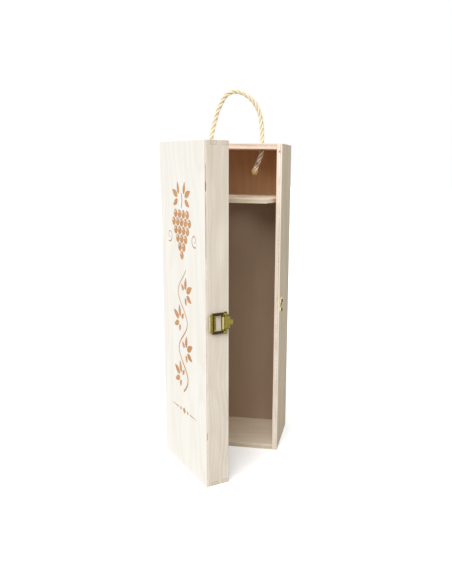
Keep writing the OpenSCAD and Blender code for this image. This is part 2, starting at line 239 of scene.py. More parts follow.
class StageSettings(bpy.types.PropertyGroup):
    """Camera, light and floor."""

    eye: bpy.props.FloatVectorProperty(
        name="Camera place", description="Where the camera stands", subtype="TRANSLATION",
        unit="LENGTH", size=3, default=(0.1463, -0.7251, 0.3310),
    )
    pitch: degrees("Camera pitch", "Angle of the camera above the horizon", -12.81)
    yaw: degrees("Camera yaw", "Angle of the camera to the left of straight ahead", 8.77)
    roll: degrees("Camera roll", "Angle of the camera about the line that it looks along", 0.84)
    lens: bpy.props.FloatProperty(
        name="Focal length", description="Focal length of the camera", unit="CAMERA", default=39.15
    )
    shift: bpy.props.FloatVectorProperty(
        name="Shift", description="Shift of the lens, across and up", size=2, default=(-0.0711, 0.0241)
    )
    key: lamp("Key", 0.3)
    fill: lamp("Fill", 0.88)
    side: lamp("Side", 0.2)
    rear: lamp("Rear", 0.25)
    sky: number("Sky", "Brightness of the light from all round", 0.32)
    floor: colour("Floor", "Colour of the floor", 250, 250, 250)
    bounce: number("Bounce", "Brightness of the floor for the light that it throws back", 0.37)
    glow: number("Floor glow", "What the floor adds to its own brightness for the camera", 0.3)


# ---- Shader expressions ----


class Signal:
    """A number that varies over a surface: a shader socket that takes part in expressions."""

    def __init__(self, nodes, socket):
        self.nodes = nodes
        self.socket = socket

    def maths(self, operation, other=0.0, reflected=False):
        pair = (other, self) if reflected else (self, other)
        made = self.nodes.node("ShaderNodeMath", {"operation": operation}, dict(enumerate(pair)))
        return Signal(self.nodes, made.outputs[0])

    __add__ = __radd__ = partialmethod(maths, "ADD")
    __mul__ = __rmul__ = partialmethod(maths, "MULTIPLY")
    __sub__ = partialmethod(maths, "SUBTRACT")
    __rsub__ = partialmethod(maths, "SUBTRACT", reflected=True)
    __abs__ = partialmethod(maths, "ABSOLUTE")
    fraction = partialmethod(maths, "FRACT")
    larger = partialmethod(maths, "MAXIMUM")
    smaller = partialmethod(maths, "MINIMUM")

    def rise(self, low, high):
        """0 below low, 1 above high, and smooth in between."""
        made = self.nodes.node(
            "ShaderNodeMapRange",
            {"interpolation_type": "SMOOTHSTEP"},
            {"Value": self, "From Min": low, "From Max": high},
        )
        return Signal(self.nodes, made.outputs["Result"])


class Nodes:
    """The nodes of a material or of the sky, in the making."""

    def __init__(self, owner):
        owner.use_nodes = True
        self.tree = owner.node_tree
        self.tree.nodes.clear()

    def node(self, kind, settings=None, inputs=None):
        """Adds a node: first its settings, then the values or links of its sockets."""
        made = self.tree.nodes.new(kind)
        for key, value in (settings or {}).items():
            setattr(made, key, value)
        for key, value in (inputs or {}).items():
            self.feed(made.inputs[key], value)
        return made

    def feed(self, socket, value):
        """Links value to a socket, or sets it there."""
        value = getattr(value, "socket", value)
        if isinstance(value, bpy.types.NodeSocket):
            self.tree.links.new(value, socket)
        elif socket.type == "RGBA":
            socket.default_value = (*value[:3], 1)
        else:
            socket.default_value = value

    def seen(self):
        """1 to the camera, in reflections and through glass, and 0 to the light on other things."""
        rays = self.node("ShaderNodeLightPath").outputs
        camera, mirror, glass = (
            Signal(self, rays[f"Is {kind} Ray"]) for kind in ("Camera", "Glossy", "Transmission")
        )
        return camera.larger(mirror).larger(glass)


class Finish(Nodes):
    """A material in the making, with its Principled shader."""

    def __init__(self, name, specular=0.5, **constants):
        self.material = bpy.data.materials.new(name)
        super().__init__(self.material)
        constants["Specular IOR Level"] = specular
        self.shader = self.node("ShaderNodeBsdfPrincipled", inputs=constants)
        self.node("ShaderNodeOutputMaterial", inputs={"Surface": self.shader.outputs[0]})

    def set(self, name, value):
        self.feed(self.shader.inputs[name], value)

    def stored(self, name):
        """What the mesh stores under a name, as a socket for each way to read it."""
        return self.node("ShaderNodeAttribute", {"attribute_name": name}).outputs

    def parts(self, name):
        """The three parts of a vector that the mesh stores."""
        made = self.node("ShaderNodeSeparateXYZ", inputs={0: self.stored(name)["Vector"]})
        return [Signal(self, socket) for socket in made.outputs]

    def noise(self, vector, scale=1.0, detail=2.0, roughness=0.5):
        made = self.node(
            "ShaderNodeTexNoise",
            inputs={"Vector": vector, "Scale": scale, "Detail": detail, "Roughness": roughness},
        )
        return Signal(self, made.outputs[0])

    def pattern(self, place, *rates, **look):
        """Noise with so many features to the unit in each part of a place."""
        parts = {i: part * rate for i, (part, rate) in enumerate(zip(place, rates))}
        return self.noise(self.node("ShaderNodeCombineXYZ", inputs=parts).outputs[0], **look)

    def mix(self, share, first, second):
        """first where share is 0 and second where it is 1; both are colours."""
        made = self.node("ShaderNodeMix", {"data_type": "RGBA"}, {0: share, 6: first, 7: second})
        return made.outputs[2]

    def bump(self, height, distance):
        made = self.node("ShaderNodeBump", inputs={"Height": height, "Distance": distance})
        self.set("Normal", made.outputs[0])


# ---- Finishes ----


def streaks(finish, grain):
    """Fine dark pores along the grain, from 0 to 1."""
    return finish.pattern(grain, 110, 2400, 3, detail=1).rise(0.6, 0.78)


def figure(finish, grain, fineness, arches):
    """Late wood, from 0 to 1: wavy lines so many to the metre, and a share of arches."""
    along, across, layer = grain
    sway, rings = 0.016, 15
    swayed = along, across + finish.pattern(grain, 15, 26, 0.4, detail=1) * sway, layer
    lines = finish.pattern(swayed, 1.7, fineness, 0.4, detail=2, roughness=0.6)
    drift = finish.pattern(swayed, 2.6, 13, 0.4, detail=1.5)
    ring = (drift * rings).fraction()
    arch = ring.rise(0.1, 0.85) * (1 - ring.rise(0.88, 1.0))
    return lines.rise(0.3, 0.75) * (1 - arches) + arch * arches


def clouds(finish, grain):
    """Slow changes of colour over a board, from 0 to 1."""
    return finish.pattern(grain, 9, 34, 1, detail=2).rise(0.3, 0.75)


def patch(signal, centre, half, soft):
    """1 within half of centre and 0 outside."""
    return 1 - abs(signal - centre).rise(half - soft, half)


def shades(face):
    """The light and the dark wood of a face."""
    wood = bpy.context.scene.box_wood
    return getattr(wood, face + "_light"), getattr(wood, face + "_dark")


def plywood(
    name, face, fineness=330, arches=0.2, depth=0.42, veneer=None, below=None, shade_share=0.7,
    gaps=(), fingers=(), edge=None, seam=0.15,
):
    """Sanded raw plywood whose faces have the named shades. Its figure has fineness lines to the
    metre and a share of arches, and depth is how dark its grain is. veneer names the shades of an
    inner face that differs, and these are painted light and shade: a warm tint, or the back's dark
    brown, for the bounce light and shade inside the box. Below the place along the grain that below
    gives, that face is mixed towards a painted shade colour, by the share that the next argument
    gives. gaps are the open places in the core, each (place along the grain, half length, share), and
    fingers are the ends of the joint's fingers, each (place along the grain, place across it). edge is
    a colour for the layers that differs, and seam is half the width of the outer glue line, in layers."""
    wood = bpy.context.scene.box_wood
    light, dark = shades(face)
    ply, core = edge or wood.ply, edge or wood.core
    finish = Finish(name, specular=0.08)
    along, across, layer = grain = finish.parts("grain")
    lines = figure(finish, grain, fineness, arches)
    pores = streaks(finish, grain)
    shade = lines * depth + clouds(finish, grain) * 0.3 + pores * (depth / 2)
    painted = finish.mix(shade, light, dark)
    if veneer:
        inner = finish.mix(shade, *shades(veneer))
        if below:
            # Painted shade: below the shelf the inner face is darkened towards the shade colour.
            inner = finish.mix((1 - along.rise(below - 4 * MM, below)) * shade_share, inner, wood.shade_and_tarnish)
        painted = finish.mix(layer.rise(LAYERS - 0.3, LAYERS - 0.2), painted, inner)

    odd = patch(layer, LAYERS / 2, 0.5, 0.03)
    fuzz = finish.pattern(grain, 900, 900, 0.7, detail=3)
    torn = finish.pattern(grain, 55, 40, 0.3, detail=2)
    rough_core = finish.mix(fuzz.rise(0.3, 0.75) * 0.25 + torn.rise(0.4, 0.7) * 0.15, core, wood.glue)
    # The layers next to the inner face take some of its painted warm tint.
    inner_ply = finish.mix(0.3, ply, shades(veneer)[0]) if veneer else ply
    long_ply = finish.mix(layer.rise(LAYERS / 2, LAYERS - 1), ply, inner_ply)
    edge_on = finish.mix(odd, finish.mix(shade * 0.4, long_ply, dark), rough_core)
    painted = finish.mix(patch(layer, LAYERS / 2, LAYERS / 2 - 0.05, 0.15), painted, edge_on)

    glue = patch(layer, 1, seam, 0.1) * 0.8 + patch(layer, LAYERS - 1, 0.12, 0.1) * 0.4
    painted = finish.mix(glue * (0.5 + torn.rise(0.4, 0.6) * 0.5), painted, wood.glue)
    for centre, half, share in gaps:
        ragged = abs(along - centre) + (torn - 0.5) * half
        hole = (1 - ragged.rise(half * 0.7, half)) * patch(layer, LAYERS / 2, 0.5, 0.3)
        painted = finish.mix(hole * share, painted, wood.gap)
    outside = 1 - layer.rise(0.1, 0.3)
    for centre, beside in fingers:
        whole, within = (
            patch(along, centre, FINGER_LONG - rim, SEAM) * patch(across, beside, FINGER_WIDE - rim, SEAM)
            for rim in (0, SEAM)
        )
        painted = finish.mix(whole * outside * (0.42 - within * 0.3), painted, wood.glue)
    finish.set("Base Color", painted)
    finish.set("Roughness", 0.62 + pores * 0.1 + fuzz * 0.08)
    finish.bump(lines * -0.3 + pores * -0.6 + fuzz * odd * 0.8 + glue * -0.8, 0.06 * MM)
    return finish.material


def burned_wood():
    """Floor and sides of the burned ornament."""
    look = bpy.context.scene.box_ornament
    finish = Finish("burned_wood", specular=0.15)
    grain = finish.parts("grain")
    pores = streaks(finish, grain)
    passes = finish.pattern(grain, 260, 60, 1, detail=3)
    soot = clouds(finish, grain) * 0.45 + passes.rise(0.35, 0.7) * 0.35 + pores * 0.3
    finish.set("Base Color", finish.mix(soot, look.burned, look.scorched))
    finish.set("Roughness", 0.75 + passes * 0.1)
    finish.bump(passes * 0.6 - pores, 0.05 * MM)
    return finish.material


def brass(name, tone, roughness, worn, patches):
    """Plated brass: brushed and mottled, with matte patches of tarnish."""
    finish = Finish(name, Metallic=1.0)
    place = finish.node("ShaderNodeTexCoord").outputs["Object"]
    mottle = finish.noise(place, scale=420, detail=4, roughness=0.6)
    spots = finish.noise(place, scale=900, detail=3)
    stretched = finish.node("ShaderNodeMapping", inputs={"Vector": place, "Scale": (900, 900, 9000)})
    brushed = finish.noise(stretched.outputs[0])
    # Patches of tarnish, darker and rougher.
    shade_and_tarnish = (mottle.rise(0.52, 0.72) + spots.rise(0.62, 0.74) * 0.6).smaller(1) * patches
    toned = finish.mix(mottle.rise(0.25, 0.7) * 0.5, tone, worn)
    finish.set("Base Color", finish.mix(shade_and_tarnish, toned, bpy.context.scene.box_metal.tarnish))
    finish.set("Roughness", roughness + shade_and_tarnish * 0.25 + brushed * 0.1)
    finish.bump(brushed * 0.5 + spots * 0.5, 0.01 * MM)
    return finish.material


def rope_fibre(name, crest, strand_shade, depth=0.58, uneven=0.3):
    """Raw fibre in twisted strands: pale on the crests, with shade painted down between the strands,
    as dark as depth gives, and darker by uneven in some stretches."""
    finish = Finish(name, specular=0.3, **{"Sheen Weight": 0.2})
    lay = finish.parts("lay")
    sunk = Signal(finish, finish.stored("sunk")["Fac"])
    fibres = finish.pattern(lay, 260, 5200, 5200, detail=2)
    patches = finish.pattern(lay, 90, 300, 300, detail=1)
    shade = sunk * depth + fibres.rise(0.5, 0.75) * 0.35 + patches.rise(0.5, 0.75) * uneven
    finish.set("Base Color", finish.mix(shade.smaller(1), crest, strand_shade))
    finish.set("Roughness", 0.7 + fibres * 0.15)
    finish.bump(fibres, 0.12 * MM)
    return finish.material


# ---- Mesh helpers ----


def body_of(node):
    return frame["nodes"][node]["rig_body"]


def place_of(node):
    """Moves a node to where it is with the lid shut; a carcass node stays where it is."""
    if body_of(node) == "carcass":
        return Matrix.Identity(4)
    hinge = next(joint for joint in frame["joints"] if joint["name"] == "lid_hinge")
    axle = Matrix.Translation(hinge["pos_m"])
    turn = Matrix.Rotation(radians(hinge["range_deg"][0]), 4, Vector(hinge["axis"]))
    return axle @ turn @ axle.inverted()


def limits(points):
    """The lowest and highest corner of some points."""
    return [Vector(pick(p[axis] for p in points) for axis in range(3)) for pick in (min, max)]


def shut_limits(made, node):
    """The limits of a node's object with the lid shut."""
    shut = place_of(node)
    return limits([shut @ vert.co for vert in made.data.vertices])


def merged(node):
    """A copy of a node's mesh with its triangles joined into whole faces."""
    bm = bmesh.new()
    bm.from_mesh(frame["nodes"][node].data)
    bmesh.ops.remove_doubles(bm, verts=bm.verts, dist=WELD)
    bmesh.ops.dissolve_limit(bm, angle_limit=radians(0.5), verts=bm.verts, edges=bm.edges)
    return bm


def soften(bm, width, shortest=0.0):
    """Rounds the convex edges that are longer than shortest."""
    least_turn = radians(25)
    sharp = [
        edge
        for edge in bm.edges
        if edge.is_manifold
        and edge.is_convex
        and edge.calc_face_angle() > least_turn
        and edge.calc_length() > shortest
    ]
    bmesh.ops.bevel(
        bm, geom=sharp, offset=width, offset_type="OFFSET", segments=3, profile=0.5,
        affect="EDGES", clamp_overlap=True, material=-1,
    )


def added(name, bm, *materials):
    """Turns a bmesh into an object of the scene."""
    mesh = bpy.data.meshes.new(name)
    bm.to_mesh(mesh)
    bm.free()
    for material in materials:
        mesh.materials.append(material)
    made = bpy.data.objects.new(name, mesh)
    bpy.context.scene.collection.objects.link(made)
    return made


def stand_for(made, node):
    """Smooths an object, and puts it on the body of the node that it stands for."""
    made.data.shade_smooth()
    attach(made, body_of(node))
    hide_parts(node)
    return made


def finished(made, node):
    """Evens the shading of flat faces beside soft edges, and puts the object in its node's place."""
    made.modifiers.new("even_shading", "WEIGHTED_NORMAL").weight = 100
    return stand_for(made, node)


def distances(line):
    """How far along a line each of its points is."""
    steps = ((there - here).length for here, there in zip(line, line[1:]))
    return list(accumulate(steps, initial=0.0))


def towards(pair, turn):
    """The direction at an angle from the first of a pair of directions to the second."""
    return pair[0] * cos(turn) + pair[1] * sin(turn)


def carried_frames(line):
    """Two directions square to a line at each of its points, carried along without twist."""
    ahead = [
        (line[min(i + 1, len(line) - 1)] - line[max(i - 1, 0)]).normalized() for i in range(len(line))
    ]
    side = ahead[0].orthogonal().normalized()
    frames = []
    for direction in ahead:
        side = (side - side.dot(direction) * direction).normalized()
        frames.append((side, direction.cross(side)))
    return frames


def tube(bm, line, radius, sides, sunk=lambda i, place: 0.0):
    """Adds a tube with open ends along a line. radius(distance, angle) is its radius there, and
    sunk(i, place) says from 0 to 1 how far down between the strands a place beside point i lies,
    which the rope's finish paints as shade."""
    lay = bm.verts.layers.float_vector["lay"]
    depth = bm.verts.layers.float["sunk"]
    distance = distances(line)
    frames = carried_frames(line)
    last = len(line) - 1
    verts = bmesh.ops.create_grid(bm, x_segments=sides, y_segments=last, size=1)["verts"]
    for vert in verts:
        i = round((vert.co.y + 1) / 2 * last)
        angle = round((vert.co.x + 1) / 2 * sides) % sides * tau / sides
        reach = radius(distance[i], angle)
        vert[lay] = Vector((distance[i], cos(angle) * reach, sin(angle) * reach))
        vert.co = line[i] + towards(frames[i], angle) * reach
        vert[depth] = sunk(i, vert.co)
    bmesh.ops.remove_doubles(bm, verts=verts, dist=FINE_WELD)


def closed(bm):
    """Closes open ends and turns all faces outwards."""
    bmesh.ops.holes_fill(bm, edges=[edge for edge in bm.edges if edge.is_boundary])
    bmesh.ops.recalc_face_normals(bm, faces=bm.faces)


def rope_mesh():
    """An empty bmesh with the layers that the rope's finish reads."""
    bm = bmesh.new()
    bm.verts.layers.float_vector.new("lay")
    bm.verts.layers.float.new("sunk")
    return bm


def yarns(strand):
    """The radius of a strand whose yarns stand out as six slanted ridges."""
    ridges, height, slant = 6, 0.05, 900
    return lambda distance, angle: strand * (1 + height * cos(ridges * angle - distance * slant))


def sinking(place, centre, radius, bottom, depth):
    """0 where a place is so far out that it is on a crest, and 1 at the bottom between the strands of
    a rope or the leads of a knot, where the rope's finish paints the most shade.
    """
    return 1 - min(1, max(0, ((place - centre).length / radius - bottom) / depth))


def loose_fibre(bm, chance, root, outwards, ahead, reach):
    """Adds one thin fibre that leaves root and curls over ahead."""
    thick, steps = 0.07 * MM, 5
    curl = outwards.cross(ahead) * chance.uniform(-0.5, 0.5)
    line = []
    for i in range(steps + 1):
        t = i / steps
        lift = outwards * (0.55 * reach * t * (1 - 0.35 * t))
        line.append(root + lift + (ahead + curl * t) * (reach * t))
    tube(bm, line, lambda distance, angle: thick * (1.05 - distance / (1.3 * reach)), sides=3)


# ---- Stage ----


def sun(name, direction, brightness, spread):
    """A lamp that shines from a direction and gives a facing white surface that brightness."""
    light = bpy.data.lights.new(name, "SUN")
    light.energy = brightness * pi
    light.angle = radians(spread)
    made = bpy.data.objects.new(name, light)
    made.rotation_euler = Vector(direction).to_track_quat("Z", "Y").to_euler()
    bpy.context.scene.collection.objects.link(made)


class GIFTBOX_OT_stage(bpy.types.Operator):
    """Sets up the camera, the lamps, the sky and a white floor"""

    bl_idname = "giftbox.stage"
    bl_label = "Stage"

    def execute(self, context):
        look = context.scene.box_stage
        lens = bpy.data.cameras.new("camera")
        lens.lens = look.lens
        lens.shift_x, lens.shift_y = look.shift
        camera = bpy.data.objects.new("camera", lens)
        turn = Matrix.Rotation(look.yaw, 4, "Z") @ Matrix.Rotation(radians(90) + look.pitch, 4, "X")
        camera.matrix_world = Matrix.Translation(look.eye) @ turn @ Matrix.Rotation(look.roll, 4, "Z")
        context.scene.collection.objects.link(camera)
        context.scene.camera = camera

        sun("key", (-0.85, -0.15, 0.50), look.key, spread=40)
        sun("fill", (-0.14, -0.77, 0.62), look.fill, spread=50)
        sun("side", (0.80, -0.50, 0.33), look.side, spread=60)
        sun("rear", (0.0, 0.95, 0.30), look.rear, spread=60)
        self.sky(context, look)
        self.floor(look)
        context.scene.view_settings.view_transform = "Standard"
        return {"FINISHED"}

    def sky(self, context, look):
        """Even light from all round, white to the camera and in reflections."""
        world = bpy.data.worlds.new("sky")
        nodes = Nodes(world)
        plain, white = (
            nodes.node("ShaderNodeBackground", inputs={"Color": (1, 1, 1), "Strength": strength})
            for strength in (look.sky, 1)
        )
        shaders = {0: nodes.seen(), 1: plain.outputs[0], 2: white.outputs[0]}
        choice = nodes.node("ShaderNodeMixShader", inputs=shaders)
        nodes.node("ShaderNodeOutputWorld", inputs={"Surface": choice.outputs[0]})
        context.scene.world = world

    def floor(self, look):
        """A wide white floor under the box."""
        bm = bmesh.new()
        bmesh.ops.create_grid(bm, x_segments=1, y_segments=1, size=8)
        bmesh.ops.translate(bm, verts=bm.verts, vec=(0, 0, CAD_BOX[0].z))
        finish = Finish("floor_white", specular=0.0, Roughness=0.9)
        seen = finish.seen()
        finish.set("Base Color", finish.mix(seen, [look.bounce] * 3, look.floor))
        finish.set("Emission Color", finish.mix(seen, (0, 0, 0), (1, 1, 1)))
        finish.set("Emission Strength", look.glow)
        added("floor", bm, finish.material)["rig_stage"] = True


# ---- Rope handle ----


def curve_point(a, b, c, d, t):
    """A point on the curve through a, b, c and d, at t of the way from b to c."""
    return 0.5 * (
        2 * b + (c - a) * t + (2 * a - 5 * b + 4 * c - d) * t**2 + (3 * b - a - 3 * c + d) * t**3
    )


def rope_line(step):
    """The rope's centre line, with points about step apart."""
    low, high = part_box("top_wall")
    middle = Vector((-ROPE_OFF_MIDDLE, low.y + ROPE_FROM_FRONT, high.z))
    stops = [Vector(p) + middle for p in ROPE_ROUTE]
    padded = [stops[0], *stops, stops[-1]]
    line = []
    for a, b, c, d in zip(padded, padded[1:], padded[2:], padded[3:]):
        count = round((c - b).length / step)
        line += [curve_point(a, b, c, d, i / count) for i in range(count)]
    return line + [stops[-1]]


# The rope's strands, and the radius of one in diameters of the rope
STRANDS = 3
STRAND_RADIUS = 0.232
# The rope's loose fibres: their seed, the points at either end of the line that have none, and the
# least and most that one is long, in millimetres
ROPE_SEED = 11
BARE_ENDS = 4
ROPE_FIBRES = (2, 6)
# Leads and bights of a knot's weave, the radius of a lead in radii of the knot, and how far it
# swings from the knot's equator
LEADS = 3
BIGHTS = 4
LEAD_RADIUS = 0.27
LEAD_SWING = radians(52)
# A knot's loose fibres: how many there are, and the least and most that one is long
KNOT_LOOSE = 26
KNOT_FIBRES = (1.5, 3)


class GIFTBOX_OT_rope(bpy.types.Operator):
    """Lays the three-strand rope handle through its two holes"""

    bl_idname = "giftbox.rope"
    bl_label = "Rope Handle"

    def execute(self, context):
        look = context.scene.box_rope
        line = rope_line(0.7 * MM)
        distance, frames = distances(line), carried_frames(line)
        strand = look.diameter * STRAND_RADIUS
        offset = look.diameter / 2 - strand
        bm = rope_mesh()
        for k in range(STRANDS):
            turned = [
                point + towards(frame, tau * (along / look.pitch + k / STRANDS)) * offset
                for point, frame, along in zip(line, frames, distance)
            ]
            tube(
                bm,
                turned,
                yarns(strand),
                sides=24,
                sunk=lambda i, place: sinking(place, line[i], look.diameter, bottom=0.28, depth=0.2),
            )
        closed(bm)
        chance = random.Random(ROPE_SEED)
        for _ in range(look.loose):
            i = chance.randrange(BARE_ENDS, len(line) - BARE_ENDS)
            ahead = (line[i + 1] - line[i]).normalized() * chance.choice((-1, 1))
            out = towards(frames[i], chance.uniform(0, tau))
            reach = chance.uniform(*ROPE_FIBRES) * MM
            loose_fibre(bm, chance, line[i] + out * (look.diameter * 0.44), out * 0.45, ahead, reach)
        closed(bm)
        fibre = rope_fibre("rope_fibre", look.crest, look.strand_shade)
        # Inside the box the strands get brighter crests and deeper painted shade between them, on faces
        # below the top wall's underside.
        frayed_and_shaded = rope_fibre("frayed_fibre", look.fray_crest, look.knot_shade, depth=0.85, uneven=0.8)
        rope = added("rope_three_strands", bm, fibre, frayed_and_shaded)
        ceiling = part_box("top_wall")[0].z
        for face in rope.data.polygons:
            face.material_index = face.center.z < ceiling
        stand_for(rope, "rope_handle")
        knot_fibres = rope_fibre("knot_fibre", look.knot_crest, look.knot_shade)
        knots = [
            self.knot(knot_fibres, "rope_knot_left", line[0], line[0] - line[3]),
            self.knot(knot_fibres, "rope_knot_right", line[-1], line[-1] - line[-4]),
        ]
        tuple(line[0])
        return {"FINISHED"}

    def knot(self, finish, node, centre, axis):
        """A woven ball at an end of the rope, whose ends are tucked in, with a tuft of fibres."""
        axis = axis.normalized()
        side = axis.orthogonal().normalized()
        round_axis = (side, axis.cross(side))
        low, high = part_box(node)
        outer = (high - low).x / 2
        strand = outer * LEAD_RADIUS
        weave, steps = [], 180
        for i in range(steps + 1):
            turn = LEADS * tau * i / steps
            phase = turn * BIGHTS / LEADS
            tucked = min(1, 0.35 + 8 * min(i, steps - i) / steps)
            reach = (outer - strand * 1.4 + 0.4 * strand * sin(2 * phase)) * tucked
            tilt = LEAD_SWING * sin(phase)
            weave.append(centre + towards((towards(round_axis, turn), axis), tilt) * reach)
        bm = rope_mesh()
        tube(
            bm,
            weave,
            yarns(strand),
            sides=18,
            sunk=lambda i, place: sinking(place, centre, outer, bottom=0.6, depth=0.35),
        )
        core, slices, least = outer * 0.62, 16, 0.01 * MM
        poles = [centre + axis * (core * cos(pi * i / slices)) for i in range(slices + 1)]
        tube(bm, poles, lambda at, angle: max(least, sqrt(max(0, at * (2 * core - at)))), sides=24)
        chance = random.Random(node)
        for _ in range(KNOT_LOOSE):
            out = towards(round_axis, chance.uniform(0, tau))
            root = centre + axis * (outer * 0.45) + out * (strand * chance.uniform(0, 0.9))
            lift = out * chance.uniform(0.2, 0.9)
            loose_fibre(bm, chance, root, lift, axis, chance.uniform(*KNOT_FIBRES) * MM)
        closed(bm)
        return stand_for(added(node + "_woven", bm, finish), node)


# ---- Boards ----

LAYERS = 3
# Finger joints of the lid's corners, in metres: half the length and half the width of a finger's
# end, the places of their middles across the wall, and the width of the seam round them
FINGER_LONG = 0.0024
FINGER_WIDE = 0.0037
FINGERS_ACROSS = (0.0068, 0.0193)
SEAM = 0.0005

# How far apart two boards' stretches of grain lie, along it and across it, in metres
STRETCH_ALONG = 0.713
STRETCH_ACROSS = 0.291

# Open places in the front panel's core: place along the grain, half length, and share
PANEL_GAPS = [(0.3075, 0.005, 1), (0.318, 0.012, 0.45), (0.268, 0.034, 0.45), (0.0565, 0.0045, 0.65)]

LID_WALLS = ["lid_hinge_wall", "lid_latch_wall", "lid_top_wall", "lid_bottom_wall"]
CARCASS = ["back_panel", "neck_shelf", "bottom_wall", "left_wall", "right_wall", "top_wall"]
BOARDS = ["lid_front_panel", *CARCASS, *LID_WALLS]


def seeded(node, along, across):
    """A place on a board as its plywood sees it: every board has its own stretch of grain."""
    i = BOARDS.index(node)
    return along + STRETCH_ALONG * i, across + STRETCH_ACROSS * i


def lay_grain(made, node):
    """Stores each point's place along the grain and across it, in metres, and among the layers,
    which count from the face that is further from the middle of the shut box."""
    shut = place_of(node)
    points = [shut @ vert.co for vert in made.data.vertices]
    low, high = limits(points)
    size = high - low
    thin, across, along = sorted(range(3), key=lambda axis: size[axis])
    middle = (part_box("back_panel")[0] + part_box("back_panel")[1]) / 2
    middle.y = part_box("left_wall")[0].y
    outer, inner = (low, high) if (low + high)[thin] / 2 < middle[thin] else (high, low)
    values = []
    for point in points:
        values += seeded(node, point[along] - low[along], point[across] - low[across])
        values.append((point[thin] - outer[thin]) / (inner[thin] - outer[thin]) * LAYERS)
    made.data.attributes.new("grain", "FLOAT_VECTOR", "POINT").data.foreach_set("vector", values)


def board(node, material):
    """A board with its edges sanded round."""
    bm = merged(node)
    soften(bm, bpy.context.scene.box_wood.edge, shortest=0.3 * MM)
    made = added(node + "_board", bm, material)
    lay_grain(made, node)
    return finished(made, node)


def under_shelf(node):
    """The underside of the neck shelf, as a place along a board's grain."""
    return seeded(node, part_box("neck_shelf")[0].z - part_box(node)[0].z, 0)[0]


def wall_wood():
    """The walls' plywood, made once, with the fingers of the lid's corners."""
    low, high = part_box("left_wall")
    fingers = [
        seeded(node, end, across)
        for node in ("lid_hinge_wall", "lid_latch_wall")
        for end in (FINGER_LONG, high.z - low.z - FINGER_LONG)
        for across in FINGERS_ACROSS
    ]
    return bpy.data.materials.get("wall_plywood") or plywood(
        "wall_plywood", "wall", depth=0.5, veneer="inner", fingers=fingers
    )


def shaded_side_wood():
    """The right wall's plywood, a darker copy of the walls' wood as painted shade for that side,
    with a knot near the top of its front edge.
    """
    knot = seeded("right_wall", 0.3415, 0)[0]
    return plywood(
        "side_plywood",
        "side",
        depth=0.55,
        veneer="inner",
        below=under_shelf("right_wall"),
        shade_share=0.5,
        gaps=[(knot, 0.0013, 0.7)],
    )


def slanted(spot, normal):
    """Whether a face is the slanted one at the shelf's right front corner."""
    return 0.3 < normal.x < 0.95 and abs(normal.z) < 0.3


class GIFTBOX_OT_carcass(bpy.types.Operator):
    """Builds the walls, back panel and neck shelf of the carcass"""

    bl_idname = "giftbox.carcass"
    bl_label = "Carcass Boards"

    def execute(self, context):
        wood = context.scene.box_wood
        board("left_wall", wall_wood())
        top = plywood("top_plywood", "wall", veneer="inner", edge=wood.top_edge, seam=0.3)
        board("top_wall", top)
        board("right_wall", shaded_side_wood())
        bottom = plywood("bottom_plywood", "shelf", fineness=180, arches=0.4, edge=wood.shelf_edge)
        board("bottom_wall", bottom)
        faces, sanded = (
            plywood(name, "shelf", fineness=180, arches=0.5, edge=edge)
            for name, edge in (("shelf_plywood", wood.shelf_edge), ("sanded_plywood", wood.shelf_corner_lit))
        )
        shelf = board("neck_shelf", faces)
        # Painted light: the shelf's slanted right front corner gets a lighter copy of its plywood.
        repaint(shelf, "neck_shelf", sanded, [], slanted)
        # The back panel's inner face gets the painted dark brown, darkened further below the shelf as
        # painted shade.
        below = under_shelf("back_panel")
        back = plywood("back_plywood", "wall", fineness=140, arches=0.5, veneer="back", below=below)
        board("back_panel", back)
        return {"FINISHED"}


class GIFTBOX_OT_lid(bpy.types.Operator):
    """Builds the four walls of the lid"""

    bl_idname = "giftbox.lid"
    bl_label = "Lid Walls"

    def execute(self, context):
        for node in LID_WALLS:
            board(node, wall_wood())
        return {"FINISHED"}


# ---- Burned ornament ----


def outline(bm, points):
    """Adds a flat face with those corners, each across and up on the panel."""
    bm.faces.new([bm.verts.new((x, 0, z)) for x, z in points])


def petal(bm, root, angle, reach, width):
    """A pointed lobe that grows from root at an angle from straight up."""
    steps = 9
    ways = [i / steps for i in range(1, steps)]
    half = [(t, sin(pi * t**0.75) ** 0.8 * width / 2) for t in ways]
    corners = [(0, 0), *half, (1, 0), *((t, -w) for t, w in reversed(half))]
    up = Vector((sin(angle), cos(angle)))
    side = Vector((cos(angle), -sin(angle)))
    outline(bm, [Vector(root) + up * (t * reach) + side * w for t, w in corners])


# Lobes of a leaf: turn from its tip in degrees, and length and width in sizes of the leaf
LEAF_LOBES = [(0, 0.78, 0.35), (52, 0.68, 0.31), (-52, 0.68, 0.31), (104, 0.42, 0.24), (-104, 0.42, 0.24)]


def leaf(bm, root, angle, size, lobes=5):
    """A vine leaf of pointed lobes, cut apart along its veins."""
    for turn, reach, width in LEAF_LOBES[:lobes]:
        lobe = angle + radians(turn)
        start = Vector(root) + Vector((sin(lobe), cos(lobe))) * (size * 0.21)
        petal(bm, start, lobe, reach * size, width * size)


def ribbon(bm, place, width, steps):
    """A band whose middle is place(t) and whose width is width(t), for t from 0 to 1."""
    for vert in bmesh.ops.create_grid(bm, x_segments=1, y_segments=steps, size=1)["verts"]:
        t = (vert.co.y + 1) / 2
        here = place(t)
        ahead = (place(t + 0.01) - place(t - 0.01)).normalized()
        spot = here + Vector((ahead.y, -ahead.x)) * (vert.co.x * width(t) / 2)
        vert.co = (spot.x, 0, spot.y)


